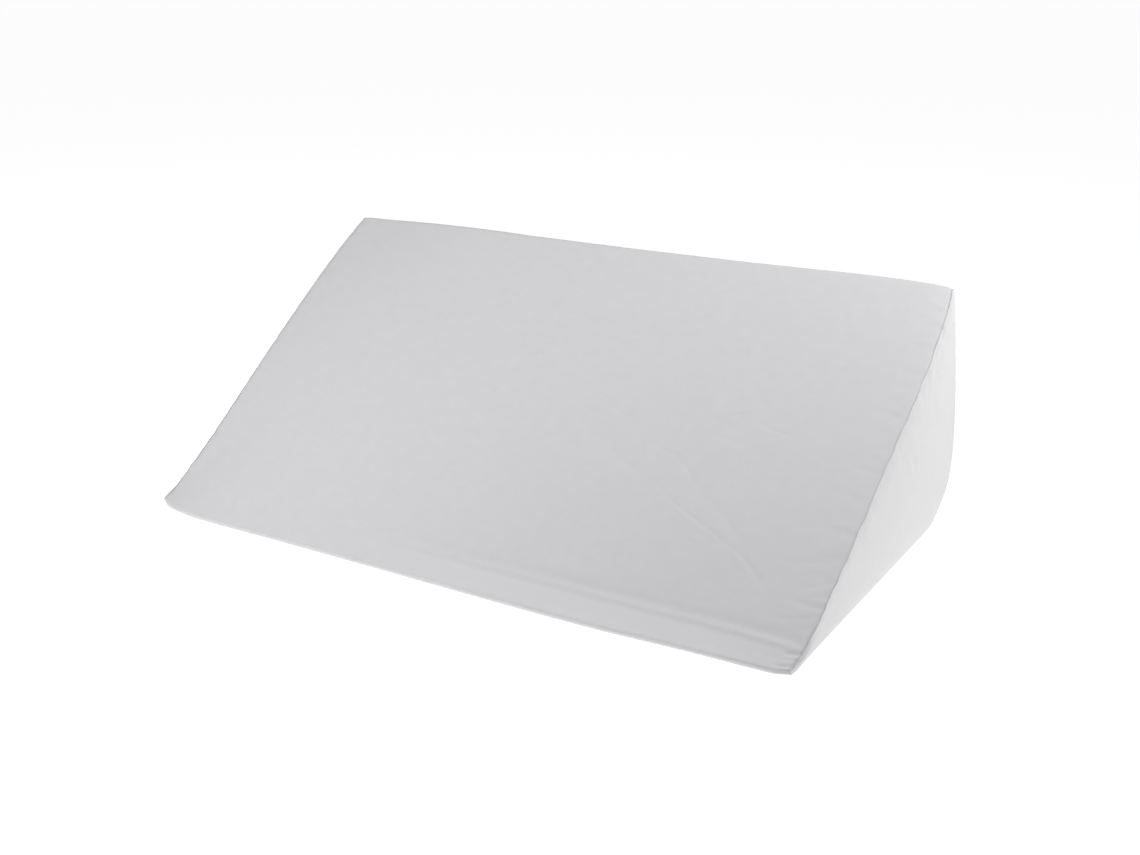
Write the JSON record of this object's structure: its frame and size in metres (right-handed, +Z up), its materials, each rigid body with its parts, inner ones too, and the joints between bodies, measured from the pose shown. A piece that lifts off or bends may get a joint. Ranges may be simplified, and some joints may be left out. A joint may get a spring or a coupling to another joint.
{
  "type": "reflux wedge pillow",
  "caption": "Firm wedge-shaped bed pillow that rests flat on its base, in a plain white cotton cover with a triangular panel sewn into each end.",
  "frame": {"origin": "on the floor, under the middle of the pillow's box", "axes": "+X along the pillow's width, +Y from the thin front edge to the tall back, +Z up"},
  "size_m": [0.628, 0.3336, 0.2105],
  "materials": {
    "cover_wrap": "matte plain-weave white cotton, faintly cool",
    "end_panel": "matte plain-weave white cotton"
  },
  "bodies": {
    "root": {"wedge_body": "cover_wrap", "end_panel_left": "end_panel", "end_panel_right": "end_panel"}
  },
  "joints": []
}
